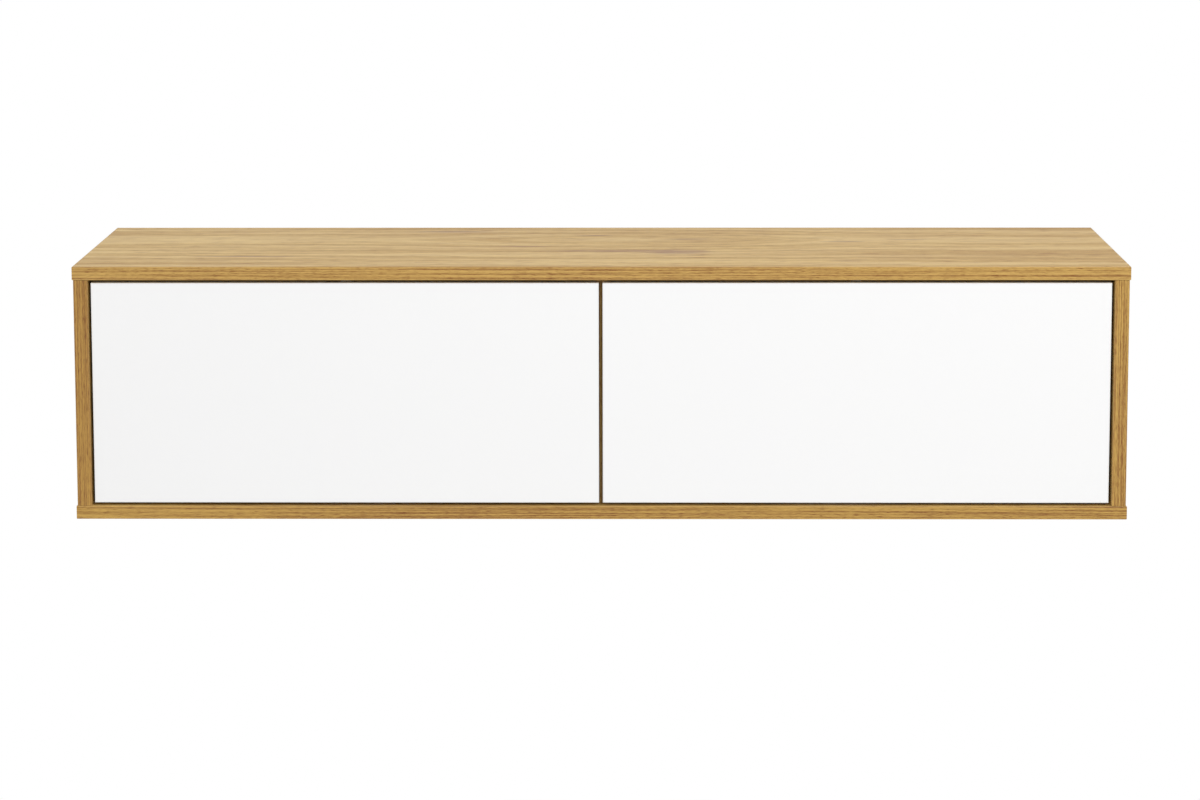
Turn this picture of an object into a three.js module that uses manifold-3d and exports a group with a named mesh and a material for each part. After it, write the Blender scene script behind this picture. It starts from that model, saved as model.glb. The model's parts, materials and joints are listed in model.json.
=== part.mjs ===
import * as THREE from 'three';
import { mergeVertices } from 'three/addons/utils/BufferGeometryUtils.js';
import Module from 'manifold-3d';

// Floating media console: an oak-decor box on a wall rail, closed by two white drop-down flaps.
// Millimetres, +Z up. X runs along the console, the wall is the plane y = 0, the front faces -Y.
// Heights are counted from the underside. The last lines put the origin on the wall rail.

// Overall sizes
const width = 1400;
const depth = 400;
const height = 340;

// Boards
const boardThickness = 18;
const sideThickness = 19;
const partitionThickness = 18;
const endOverhang = 1.5;
const boardArris = 1;
const glueLine = 0.2;

// Back panel, its grooves and its cable cut-outs
const backThickness = 3;
const backRecess = 20;
const grooveDepth = 8;
const grooveSlack = 0.3;
const cableCut = { length: 120, height: 50, aboveFloor: 25 };

// Flaps and the line that they turn on
const flapThickness = 16;
const flapSetback = 2;
const flapReveal = 4;
const flapCentreGap = 5;
const flapArris = 0.8;
const axisBehindFront = 4;
const axisAboveEdge = 9;
const swingGap = 0.5;

// Fits
const seat = 0.2;
const runningGap = 0.3;
const planeGap = 0.5;

// Concealed hinges: a cup in the flap, a curved link, a cranked arm and its plate on the floor
const hinge = {
  inset: 100,
  cupRadius: 17.5,
  cupDepth: 11.5,
  cupWall: 1.2,
  cupCorner: 1.5,
  cupAboveEdge: 21.5,
  rimWidth: 1.6,
  flangeLength: 60,
  flangeHeight: 20,
  flangeThickness: 1.2,
  cupPivotBehindBack: 5,
  cupPivotAboveAxis: 1,
  armPivotReach: 26,
  linkThickness: 3,
  linkEndRadius: 2,
  linkEyeRadius: 2.8,
  linkBulge: 5,
  linkWidth: 7.4,
  pinRadius: 1.1,
  armWidth: 11,
  armSheet: 1.4,
  armNoseRadius: 3.4,
  armRadius: 6,
  armKneeBack: 40,
  armEndBack: 68,
  armCentreAboveFloor: 12,
  plateSetback: 53,
  plateThickness: 2,
  plateSpineLength: 54,
  plateSpineWidth: 16,
  plateWingSpan: 48,
  plateWingWidth: 17,
  plateCorner: 4,
  plateScrewSpacing: 32,
  screwHoleRadius: 2.6,
  ridgeSlope: 3,
};

// Flap stays: a damped housing, a lever, a link and a bracket on the flap, as a parallelogram
const stay = {
  pivotBack: 70,
  pivotUp: 60,
  bracketBack: 26,
  bracketUp: 120,
  housingThickness: 11,
  housingNoseRadius: 17,
  housingTailRadius: 11,
  housingTailBack: 92,
  housingTailDrop: 22,
  housingRound: 1.5,
  housingScrewInset: 14,
  screwHoleRadius: 2.2,
  pinRadius: 4,
  pinHeadRadius: 6,
  pinHeadThickness: 1.6,
  leverThickness: 2.5,
  leverRootRadius: 9,
  leverTipRadius: 6.5,
  linkThickness: 2.5,
  linkRadius: 6,
  jointPinRadius: 2.5,
  bracketThickness: 2.5,
  bracketBaseLength: 26,
  bracketBaseHeight: 44,
  bracketBaseThickness: 2,
  bracketCorner: 4,
  bracketScrewSpacing: 28,
};

// Push latches under the top board
const latch = {
  drop: 11,
  housingRadius: 6.5,
  housingLength: 68,
  earSpan: 34,
  earLength: 14,
  earThickness: 2.4,
  earCorner: 3,
  earSetback: 26,
  plungerRadius: 3,
  plungerReach: 7,
  plungerInside: 34,
  boreDepth: 44,
  headRadius: 4.6,
  headThickness: 2.6,
  strikeRadius: 6,
  strikeThickness: 1.2,
  screwHoleRadius: 1.8,
};

// Wall rail: a steel strip whose upper lip stands off the wall
const rail = {
  sheet: 2,
  height: 40,
  lipHeight: 10,
  lipStandOff: 6,
  belowCeiling: 30,
  endGap: 4,
  slotPitch: 100,
  slotLength: 22,
  slotRadius: 3.5,
};

// Hangers in the top corners: a moulded body on the side panel and a steel hook over the rail's lip
const hanger = {
  bodyThickness: 15,
  bodyLength: 58,
  bodyHeight: 42,
  bodyCorner: 7,
  bodyRound: 1,
  hookThickness: 3,
  hookHeight: 9,
  hookTip: 8,
  hookTipWidth: 4.2,
  hookCorner: 3,
  hookInBody: 24,
  adjusterRadius: 4,
  adjusterDepth: 3,
  windowWidth: 14,
  windowHeight: 26,
  windowCorner: 3,
};

// Facets: steps in a full circle, a small circle and a rounded arris; overrun of every cutting tool
const circleSteps = 24;
const cableCutSteps = 40;
const smallCircleSteps = 12;
const arrisSteps = 2;
const linkSteps = 8;
const overrun = 1;

// Colours
const oak = { color: 0xb9935a, roughness: 0.6, metalness: 0 };
const whiteLaminate = { color: 0xf4f4f4, roughness: 0.45, metalness: 0 };
const hardboard = { color: 0x9a7448, roughness: 0.8, metalness: 0 };
const nickelSteel = { color: 0xb9b9b6, roughness: 0.3, metalness: 1 };
const zincSteel = { color: 0xa7abad, roughness: 0.45, metalness: 1 };
const greyPlastic = { color: 0xa9aaac, roughness: 0.5, metalness: 0 };

// Planes that several pieces share
const quarterTurn = Math.PI / 2;
const halfTurn = Math.PI;
const fullTurn = 2 * Math.PI;
const floorTop = boardThickness;
const ceiling = height - boardThickness;
const sideOuter = width / 2 - endOverhang;
const sideInner = sideOuter - sideThickness;
const partitionFace = partitionThickness / 2;
const backRear = -backRecess;
const backFront = backRear - backThickness;
const flapFront = flapSetback - depth;
const flapBack = flapFront + flapThickness;
const flapBottom = floorTop + flapReveal;
const flapTop = ceiling - flapReveal;
const flapOuter = sideInner - flapReveal;
const flapInner = flapCentreGap / 2;
const flapMiddle = (flapOuter + flapInner) / 2;
const axisY = flapFront + axisBehindFront;
const axisZ = flapBottom + axisAboveEdge;
const lipTop = ceiling - rail.belowCeiling;
const railBottom = lipTop - rail.height;
const railFlatTop = lipTop - rail.lipHeight - rail.lipStandOff;
const railMiddle = (railBottom + railFlatTop) / 2;

// Outlines, as lists of points
const at = (u, v) => new THREE.Vector2(u, v);

function arc(centre, radius, from, to, steps) {
  const count = Math.max(1, Math.round(Math.abs(to - from) / fullTurn * steps));
  const points = [];
  for (let i = 0; i <= count; i += 1) {
    const angle = from + (to - from) * i / count;
    points.push(at(centre.x + radius * Math.cos(angle), centre.y + radius * Math.sin(angle)));
  }
  return points;
}

function disc(centre, radius, steps = circleSteps) {
  return arc(centre, radius, 0, fullTurn, steps).slice(0, -1);
}

function rectangle(lowU, lowV, highU, highV) {
  return [at(lowU, lowV), at(highU, lowV), at(highU, highV), at(lowU, highV)];
}

function roundedRectangle(lowU, lowV, highU, highV, radius) {
  return [
    ...arc(at(highU - radius, lowV + radius), radius, -quarterTurn, 0, smallCircleSteps),
    ...arc(at(highU - radius, highV - radius), radius, 0, quarterTurn, smallCircleSteps),
    ...arc(at(lowU + radius, highV - radius), radius, quarterTurn, halfTurn, smallCircleSteps),
    ...arc(at(lowU + radius, lowV + radius), radius, halfTurn, halfTurn + quarterTurn, smallCircleSteps),
  ];
}

function roundEnded(centre, length, radius, steps = smallCircleSteps) {
  const reach = length / 2 - radius;
  const right = at(centre.x + reach, centre.y);
  const left = at(centre.x - reach, centre.y);
  return [
    ...arc(right, radius, -quarterTurn, quarterTurn, steps),
    ...arc(left, radius, quarterTurn, halfTurn + quarterTurn, steps),
  ];
}

// Two circles and the straight lines that touch both
function taper(start, startRadius, end, endRadius, steps = circleSteps) {
  const along = Math.atan2(end.y - start.y, end.x - start.x);
  const lean = Math.acos((startRadius - endRadius) / start.distanceTo(end));
  return [
    ...arc(end, endRadius, along - lean, along + lean, steps),
    ...arc(start, startRadius, along + lean, along + fullTurn - lean, steps),
  ];
}

// Solids from outlines. An outline is drawn in the two axes that the extrusion doesn't follow.
function extruded(outline, length, round) {
  const geometry = new THREE.ExtrudeGeometry(new THREE.Shape(outline), {
    depth: length - 2 * round,
    bevelEnabled: round > 0,
    bevelThickness: round,
    bevelSize: round,
    bevelOffset: -round,
    bevelSegments: arrisSteps,
  });
  return geometry.translate(0, 0, round);
}

const unitX = new THREE.Vector3(1, 0, 0);
const unitY = new THREE.Vector3(0, 1, 0);
const unitZ = new THREE.Vector3(0, 0, 1);
const turnAlongX = new THREE.Matrix4().makeBasis(unitY, unitZ, unitX);
const turnAlongY = new THREE.Matrix4().makeBasis(unitX, unitZ, unitY.clone().negate());

function alongX(outline, from, to, round = 0) {
  const geometry = extruded(outline, Math.abs(to - from), round);
  return geometry.applyMatrix4(turnAlongX).translate(Math.min(from, to), 0, 0);
}

function alongY(outline, from, to, round = 0) {
  const geometry = extruded(outline, Math.abs(to - from), round);
  return geometry.applyMatrix4(turnAlongY).translate(0, Math.max(from, to), 0);
}

function alongZ(outline, from, to, round = 0) {
  return extruded(outline, Math.abs(to - from), round).translate(0, 0, Math.min(from, to));
}

// Joins and cuts
const wasm = await Module();
wasm.setup();

function solidOf(geometry) {
  const plain = geometry.clone();
  plain.deleteAttribute('normal');
  plain.deleteAttribute('uv');
  const merged = mergeVertices(plain);
  const index = merged.index.array;
  const triVerts = [];
  for (let i = 0; i < index.length; i += 3) {
    const [a, b, c] = [index[i], index[i + 1], index[i + 2]];
    if (a !== b && b !== c && c !== a) {
      triVerts.push(a, b, c);
    }
  }
  return new wasm.Manifold(new wasm.Mesh({
    numProp: 3,
    vertProperties: new Float32Array(merged.attributes.position.array),
    triVerts: new Uint32Array(triVerts),
  }));
}

function geometryOf(solid) {
  const mesh = solid.getMesh();
  const geometry = new THREE.BufferGeometry();
  geometry.setAttribute('position', new THREE.BufferAttribute(mesh.vertProperties, 3));
  geometry.setIndex(new THREE.BufferAttribute(mesh.triVerts, 1));
  geometry.computeVertexNormals();
  return geometry;
}

function joined(...geometries) {
  return geometryOf(geometries.map(solidOf).reduce((whole, piece) => whole.add(piece)));
}

function without(geometry, ...tools) {
  return geometryOf(tools.map(solidOf).reduce((whole, tool) => whole.subtract(tool), solidOf(geometry)));
}

// The finished console
const root = new THREE.Group();

function add(name, finish, geometry) {
  const mesh = new THREE.Mesh(geometry, new THREE.MeshStandardMaterial(finish));
  mesh.name = name;
  root.add(mesh);
}

// Top and bottom boards: eased arrises all round and a stopped groove for the back panel
function addBoards() {
  const plan = rectangle(-width / 2, -depth, width / 2, 0);
  const grooveHalf = sideInner + grooveDepth;
  const grooveFront = backFront - grooveSlack;
  const grooveRear = backRear + grooveSlack;
  const groove = rectangle(-grooveHalf, grooveFront, grooveHalf, grooveRear);
  const top = alongZ(plan, ceiling, height, boardArris);
  const bottom = alongZ(plan, 0, floorTop, boardArris);
  add('top_panel', oak, without(top, alongZ(groove, ceiling - overrun, ceiling + grooveDepth)));
  add('bottom_panel', oak, without(bottom, alongZ(groove, floorTop - grooveDepth, floorTop + overrun)));
}

// Side panels: rounded front corners, the groove is part of the section
function addSides() {
  for (const [name, side] of [['left_side_panel', -1], ['right_side_panel', 1]]) {
    const grooveFloor = sideInner + grooveDepth;
    const section = [
      ...arc(at(sideInner + boardArris, boardArris - depth), boardArris, halfTurn, halfTurn + quarterTurn,
        smallCircleSteps),
      ...arc(at(sideOuter - boardArris, boardArris - depth), boardArris, -quarterTurn, 0, smallCircleSteps),
      at(sideOuter, 0),
      at(sideInner, 0),
      at(sideInner, backRear + grooveSlack),
      at(grooveFloor, backRear + grooveSlack),
      at(grooveFloor, backFront - grooveSlack),
      at(sideInner, backFront - grooveSlack),
    ];
    const outline = section.map((point) => at(side * point.x, point.y));
    add(name, oak, alongZ(outline, floorTop + glueLine, ceiling - glueLine));
  }
}

// Centre partition: its front edge stays clear of the circle that the flaps' rear corners sweep
function addPartition() {
  const sweep = Math.hypot(flapThickness - axisBehindFront, axisAboveEdge);
  const front = axisY + sweep + swingGap;
  const rear = backFront - glueLine;
  const section = [
    ...arc(at(boardArris - partitionFace, front + boardArris), boardArris, halfTurn,
      halfTurn + quarterTurn, smallCircleSteps),
    ...arc(at(partitionFace - boardArris, front + boardArris), boardArris, -quarterTurn, 0,
      smallCircleSteps),
    at(partitionFace, rear),
    at(-partitionFace, rear),
  ];
  add('centre_partition', oak, alongZ(section, floorTop + glueLine, ceiling - glueLine));
}

const hookOffset = hanger.bodyThickness / 2 + seat;
const armOfHook = lipTop + runningGap + hanger.hookHeight / 2;

function addBackPanel() {
  const reach = sideInner + grooveDepth - grooveSlack;
  const low = floorTop - grooveDepth + grooveSlack;
  const high = ceiling + grooveDepth - grooveSlack;
  const panel = alongY(rectangle(-reach, low, reach, high), backFront, backRear);
  const cuts = [];
  for (const side of [-1, 1]) {
    const cableMiddle = at(side * flapMiddle, floorTop + cableCut.aboveFloor + cableCut.height / 2);
    const cable = roundEnded(cableMiddle, cableCut.length, cableCut.height / 2, cableCutSteps);
    const hookX = side * (sideInner - hookOffset);
    const window = roundedRectangle(
      hookX - hanger.windowWidth / 2,
      armOfHook - hanger.windowHeight / 2,
      hookX + hanger.windowWidth / 2,
      armOfHook + hanger.windowHeight / 2,
      hanger.windowCorner,
    );
    cuts.push(alongY(cable, backFront - overrun, backRear + overrun));
    cuts.push(alongY(window, backFront - overrun, backRear + overrun));
  }
  add('back_panel', hardboard, without(panel, ...cuts));
}

// Flaps, bored for the two hinge cups
const cupZ = flapBottom + hinge.cupAboveEdge;
const hingeXs = { outer: flapOuter - hinge.inset, inner: flapInner + hinge.inset };

function addFlap(name, side) {
  const face = rectangle(flapInner, flapBottom, flapOuter, flapTop);
  const outline = face.map((point) => at(side * point.x, point.y));
  const board = alongY(outline, flapFront, flapBack, flapArris);
  const bores = Object.values(hingeXs).map((x) => {
    const bore = disc(at(side * x, cupZ), hinge.cupRadius + seat);
    return alongY(bore, flapBack - hinge.cupDepth - seat, flapBack + overrun);
  });
  add(`${name}_flap`, whiteLaminate, without(board, ...bores));
}

// Concealed hinge. Its pivots are points of the (y, z) plane, and B turns with the flap.
const axis = at(axisY, axisZ);
const pivotB = at(flapBack - hinge.cupPivotBehindBack, axisZ + hinge.cupPivotAboveAxis);
const armAngle = pivotB.clone().sub(axis).angle() + quarterTurn / 2;
const pivotA = at(Math.cos(armAngle), Math.sin(armAngle)).multiplyScalar(hinge.armPivotReach).add(axis);

function addHingeCup(name, x) {
  const bottom = flapBack - hinge.cupDepth;
  const rimBottom = flapBack + seat;
  const rimTop = rimBottom + hinge.flangeThickness;
  const inner = hinge.cupRadius - hinge.cupWall;
  const profile = [
    at(0, bottom + hinge.cupWall),
    at(inner - hinge.cupCorner, bottom + hinge.cupWall),
    at(inner, bottom + hinge.cupWall + hinge.cupCorner),
    at(inner, rimTop),
    at(hinge.cupRadius + hinge.rimWidth, rimTop),
    at(hinge.cupRadius + hinge.rimWidth, rimBottom),
    at(hinge.cupRadius, rimBottom),
    at(hinge.cupRadius, bottom + hinge.cupCorner),
    at(hinge.cupRadius - hinge.cupCorner, bottom),
    at(0, bottom),
  ];
  const bowl = new THREE.LatheGeometry(profile.reverse(), circleSteps).translate(x, 0, cupZ);
  const flange = without(
    alongY(roundEnded(at(x, cupZ), hinge.flangeLength, hinge.flangeHeight / 2), rimBottom, rimTop),
    alongY(disc(at(x, cupZ), inner + hinge.cupWall / 2), rimBottom - overrun, rimTop + overrun),
  );
  add(`${name}_hinge_cup`, nickelSteel, joined(bowl, flange));
}

// The link bulges forward, so that it clears the cup's lower rim when the flap lies open
function addHingeLink(name, x) {
  const chord = pivotB.clone().sub(pivotA);
  const sideways = at(chord.y, -chord.x).normalize();
  const bend = pivotA.clone().add(pivotB).divideScalar(2).addScaledVector(sideways, 2 * hinge.linkBulge);
  const curve = new THREE.QuadraticBezierCurve(pivotA, bend, pivotB);
  const upper = [];
  const lower = [];
  for (let i = 0; i <= linkSteps; i += 1) {
    const point = curve.getPoint(i / linkSteps);
    const tangent = curve.getTangent(i / linkSteps);
    const normal = at(-tangent.y, tangent.x).multiplyScalar(hinge.linkThickness / 2);
    upper.push(point.clone().add(normal));
    lower.unshift(point.clone().sub(normal));
  }
  const half = hinge.linkWidth / 2;
  const strap = alongX([...upper, ...lower].reverse(), x - half, x + half);
  const eye = alongX(disc(pivotA, hinge.linkEyeRadius, smallCircleSteps), x - half, x + half);
  const end = alongX(disc(pivotB, hinge.linkEndRadius, smallCircleSteps), x - half, x + half);
  const hole = disc(pivotA, hinge.pinRadius + runningGap, smallCircleSteps);
  const bore = alongX(hole, x - half - overrun, x + half + overrun);
  add(`${name}_hinge_link`, nickelSteel, without(joined(strap, eye, end), bore));
}

const armCentreZ = floorTop + hinge.armCentreAboveFloor;
const armKnee = at(axisY + hinge.armKneeBack, armCentreZ);
const armEnd = at(axisY + hinge.armEndBack, armCentreZ);
const forkHalf = hinge.linkWidth / 2 + runningGap;

function addHingeArm(name, x) {
  const half = hinge.armWidth / 2;
  const drop = (point) => at(point.x, point.y - hinge.armSheet);
  const crank = (start, end) => taper(start, hinge.armNoseRadius, end, hinge.armRadius, smallCircleSteps);
  const tail = (start, end) => taper(start, hinge.armRadius, end, hinge.armRadius, smallCircleSteps);
  const outside = [crank(pivotA, armKnee), tail(armKnee, armEnd)];
  const inside = [
    crank(drop(pivotA), drop(armKnee)),
    tail(drop(armKnee), drop(armEnd)),
    disc(pivotA, hinge.armNoseRadius + hinge.armSheet, smallCircleSteps),
  ];
  const cover = joined(...outside.map((outline) => alongX(outline, x - half, x + half)));
  const rooms = inside.map((outline) => alongX(outline, x - forkHalf, x + forkHalf));
  const pin = alongX(disc(pivotA, hinge.pinRadius, smallCircleSteps), x - half, x + half);
  add(`${name}_hinge_arm`, nickelSteel, joined(without(cover, ...rooms), pin));
}

function addHingePlate(name, x) {
  const middle = flapFront + hinge.plateSetback;
  const bottom = floorTop + seat;
  const top = bottom + hinge.plateThickness;
  const spine = roundedRectangle(
    x - hinge.plateSpineWidth / 2,
    middle - hinge.plateSpineLength / 2,
    x + hinge.plateSpineWidth / 2,
    middle + hinge.plateSpineLength / 2,
    hinge.plateCorner,
  );
  const wing = roundedRectangle(
    x - hinge.plateWingSpan / 2,
    middle - hinge.plateWingWidth / 2,
    x + hinge.plateWingSpan / 2,
    middle + hinge.plateWingWidth / 2,
    hinge.plateCorner,
  );
  const ridgeTop = armCentreZ + hinge.armRadius - hinge.armSheet - runningGap;
  const ridge = [
    at(armKnee.x, bottom),
    at(armEnd.x, bottom),
    at(armEnd.x - hinge.ridgeSlope, ridgeTop),
    at(armKnee.x + hinge.ridgeSlope, ridgeTop),
  ];
  const ridgeHalf = hinge.linkWidth / 2;
  const base = joined(
    alongZ(spine, bottom, top),
    alongZ(wing, bottom, top),
    alongX(ridge, x - ridgeHalf, x + ridgeHalf),
  );
  const holes = [-1, 1].map((side) => {
    const centre = at(x + side * hinge.plateScrewSpacing / 2, middle);
    return alongZ(disc(centre, hinge.screwHoleRadius, smallCircleSteps), bottom - overrun, top + overrun);
  });
  add(`${name}_hinge_plate`, nickelSteel, without(base, ...holes));
}

// Flap stay. Its layers are counted from the face of the board that carries it.
const stayA = at(axisY + stay.pivotBack, axisZ + stay.pivotUp);
const stayC = at(axisY + stay.bracketBack, axisZ + stay.bracketUp);
const stayB = stayA.clone().add(stayC).sub(axis);
const housingFace = seat + stay.housingThickness;
const leverNear = housingFace + planeGap;
const leverFar = leverNear + stay.leverThickness;
const linkNear = leverFar + planeGap;
const linkFar = linkNear + stay.linkThickness;
const bracketNear = linkFar + planeGap;
const bracketFar = bracketNear + stay.bracketThickness;

function addStay(name, face, inward) {
  const layer = (outline, from, to, round) => (
    alongX(outline, face + inward * from, face + inward * to, round));

  const tail = at(stayA.x + stay.housingTailBack, stayA.y - stay.housingTailDrop);
  const body = layer(taper(stayA, stay.housingNoseRadius, tail, stay.housingTailRadius), seat, housingFace,
    stay.housingRound);
  const slope = tail.clone().sub(stayA).normalize();
  const screwReach = stay.housingNoseRadius + stay.housingScrewInset;
  const screws = [tail, stayA.clone().addScaledVector(slope, screwReach)];
  const holes = screws.map((centre) => layer(disc(centre, stay.screwHoleRadius, smallCircleSteps),
    seat - overrun, housingFace + overrun));
  const pinRoot = stay.housingThickness / 2;
  const pinFar = leverFar + planeGap;
  const pin = layer(disc(stayA, stay.pinRadius), pinRoot, pinFar);
  const head = layer(disc(stayA, stay.pinHeadRadius), pinFar, pinFar + stay.pinHeadThickness);
  add(`${name}_stay_housing`, greyPlastic, joined(without(body, ...holes), joined(pin, head)));

  const blade = layer(taper(stayA, stay.leverRootRadius, stayB, stay.leverTipRadius), leverNear, leverFar);
  const eye = layer(disc(stayA, stay.pinRadius + runningGap), leverNear - overrun, leverFar + overrun);
  const leverPin = layer(disc(stayB, stay.jointPinRadius, smallCircleSteps), leverNear, linkFar);
  add(`${name}_stay_lever`, nickelSteel, joined(without(blade, eye), leverPin));

  const outline = taper(stayB, stay.linkRadius, stayC, stay.linkRadius, smallCircleSteps);
  const strap = layer(outline, linkNear, linkFar);
  const eyeRadius = stay.jointPinRadius + runningGap;
  const eyes = [stayB, stayC].map((centre) => layer(disc(centre, eyeRadius, smallCircleSteps),
    linkNear - overrun, linkFar + overrun));
  add(`${name}_stay_link`, nickelSteel, without(strap, ...eyes));

  const baseNear = flapBack + seat;
  const baseFar = baseNear + stay.bracketBaseThickness;
  const halfHeight = stay.bracketBaseHeight / 2;
  const lowX = Math.min(face + inward * bracketNear, face + inward * (bracketNear + stay.bracketBaseLength));
  const base = alongY(roundedRectangle(lowX, stayC.y - halfHeight, lowX + stay.bracketBaseLength,
    stayC.y + halfHeight, stay.bracketCorner), baseNear, baseFar);
  const lugRoot = halfHeight - stay.bracketCorner;
  const lug = layer([
    at(baseNear, stayC.y - lugRoot),
    ...arc(stayC, stay.linkRadius, -quarterTurn / 2, quarterTurn / 2, circleSteps),
    at(baseNear, stayC.y + lugRoot),
  ], bracketNear, bracketFar);
  const bracketPin = layer(disc(stayC, stay.jointPinRadius, smallCircleSteps), linkNear, bracketFar);
  const screwX = face + inward * (bracketFar + bracketNear + stay.bracketBaseLength) / 2;
  const baseHoles = [-1, 1].map((up) => {
    const centre = at(screwX, stayC.y + up * stay.bracketScrewSpacing / 2);
    const hole = disc(centre, stay.screwHoleRadius, smallCircleSteps);
    return alongY(hole, baseNear - overrun, baseFar + overrun);
  });
  add(`${name}_stay_bracket`, nickelSteel, without(joined(base, lug, bracketPin), ...baseHoles));
}

// Push latch: housing under the top board, sprung plunger, strike plate on the flap
function addLatch(name, x) {
  const centre = at(x, ceiling - latch.drop);
  const strikeFar = flapBack + seat + latch.strikeThickness;
  const strike = alongY(disc(centre, latch.strikeRadius, smallCircleSteps), flapBack + seat, strikeFar);
  add(`${name}_latch_strike`, nickelSteel, strike);

  const tip = strikeFar + runningGap;
  const front = tip + latch.plungerReach;
  const rod = alongY(disc(centre, latch.plungerRadius, smallCircleSteps), tip, front + latch.plungerInside);
  const head = alongY(disc(centre, latch.headRadius, smallCircleSteps), tip, tip + latch.headThickness);
  add(`${name}_latch_plunger`, greyPlastic, joined(rod, head));

  const top = ceiling - seat;
  const section = [
    ...arc(centre, latch.housingRadius, halfTurn, fullTurn, circleSteps),
    at(x + latch.housingRadius, top),
    at(x - latch.housingRadius, top),
  ];
  const earFront = front + latch.earSetback;
  const ears = roundedRectangle(x - latch.earSpan / 2, earFront, x + latch.earSpan / 2,
    earFront + latch.earLength, latch.earCorner);
  const body = joined(
    alongY(section, front, front + latch.housingLength),
    alongZ(ears, top - latch.earThickness, top),
  );
  const bore = alongY(disc(centre, latch.plungerRadius + runningGap, smallCircleSteps),
    front - overrun, front + latch.boreDepth);
  const holeReach = (latch.housingRadius + latch.earSpan / 2) / 2;
  const holes = [-1, 1].map((side) => alongZ(
    disc(at(x + side * holeReach, earFront + latch.earLength / 2), latch.screwHoleRadius, smallCircleSteps),
    top - latch.earThickness - overrun, top + overrun));
  add(`${name}_latch_housing`, greyPlastic, without(body, bore, ...holes));
}

// Wall rail: one folded section, slotted along its flat
function addRail() {
  const half = sideInner - rail.endGap;
  const standOff = rail.lipStandOff;
  const miter = rail.sheet * Math.tan(quarterTurn / 4);
  const foldTop = railFlatTop + standOff;
  const section = [
    at(0, railBottom),
    at(0, railFlatTop),
    at(-standOff, foldTop),
    at(-standOff, lipTop),
    at(-standOff - rail.sheet, lipTop),
    at(-standOff - rail.sheet, foldTop - miter),
    at(-rail.sheet, railFlatTop - miter),
    at(-rail.sheet, railBottom),
  ];
  const strip = alongX(section, -half, half);
  const pairs = Math.floor((half - rail.slotLength) / rail.slotPitch + 1 / 2);
  const slots = [];
  for (let i = 0; i < pairs; i += 1) {
    for (const side of [-1, 1]) {
      const centre = at(side * rail.slotPitch * (i + 1 / 2), railMiddle);
      slots.push(alongY(roundEnded(centre, rail.slotLength, rail.slotRadius),
        -rail.sheet - overrun, overrun));
    }
  }
  add('wall_rail', zincSteel, without(strip, ...slots));
}

function addHanger(name, side) {
  const face = side * sideInner;
  const layer = (outline, from, to, round) => alongX(outline, face - side * from, face - side * to, round);
  const rear = backFront - seat;
  const front = rear - hanger.bodyLength;
  const top = ceiling - planeGap;
  const bottom = top - hanger.bodyHeight;
  const armLow = lipTop + runningGap;
  const armHigh = armLow + hanger.hookHeight;
  const hookNear = hookOffset - hanger.hookThickness / 2;
  const hookFar = hookOffset + hanger.hookThickness / 2;
  const hookRoot = rear - hanger.hookInBody;

  const body = layer(roundedRectangle(front, bottom, rear, top, hanger.bodyCorner), seat,
    seat + hanger.bodyThickness, hanger.bodyRound);
  const pocket = layer(
    rectangle(hookRoot - runningGap, armLow - runningGap, rear + overrun, armHigh + runningGap),
    hookNear - runningGap, hookFar + runningGap);
  const adjusterX = face - side * hookOffset;
  const adjusters = [bottom + hanger.bodyHeight / 4, top - hanger.bodyHeight / 4].map((z) => alongY(
    disc(at(adjusterX, z), hanger.adjusterRadius, smallCircleSteps),
    front - overrun, front + hanger.adjusterDepth));
  add(`${name}_hanger_body`, greyPlastic, without(body, pocket, ...adjusters));

  const lipBack = -rail.lipStandOff;
  const tipFront = lipBack + runningGap;
  const tipBack = tipFront + hanger.hookTipWidth;
  const corner = at(tipBack - hanger.hookCorner, armHigh - hanger.hookCorner);
  const hook = layer([
    at(hookRoot, armLow),
    at(tipFront, armLow),
    at(tipFront, lipTop - hanger.hookTip),
    at(tipBack, lipTop - hanger.hookTip),
    ...arc(corner, hanger.hookCorner, 0, quarterTurn, smallCircleSteps),
    at(hookRoot, armHigh),
  ], hookNear, hookFar);
  add(`${name}_hanger_hook`, zincSteel, hook);
}

addBoards();
addSides();
addPartition();
addBackPanel();
for (const [name, side] of [['left', -1], ['right', 1]]) {
  addFlap(name, side);
  for (const [place, x] of Object.entries(hingeXs)) {
    const hingeName = `${name}_${place}`;
    addHingeCup(hingeName, side * x);
    addHingeLink(hingeName, side * x);
    addHingeArm(hingeName, side * x);
    addHingePlate(hingeName, side * x);
  }
  addStay(`${name}_outer`, side * sideInner, -side);
  addStay(`${name}_inner`, side * partitionFace, side);
  addLatch(name, side * flapMiddle);
}
addRail();
for (const [name, side] of [['left', -1], ['right', 1]]) {
  addHanger(name, side);
}

// The origin is the middle of the wall rail's flat back face
root.position.z = -railMiddle;
root.updateMatrixWorld(true);

export default root;
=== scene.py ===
"""Floating media console: finishes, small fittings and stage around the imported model."""

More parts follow.
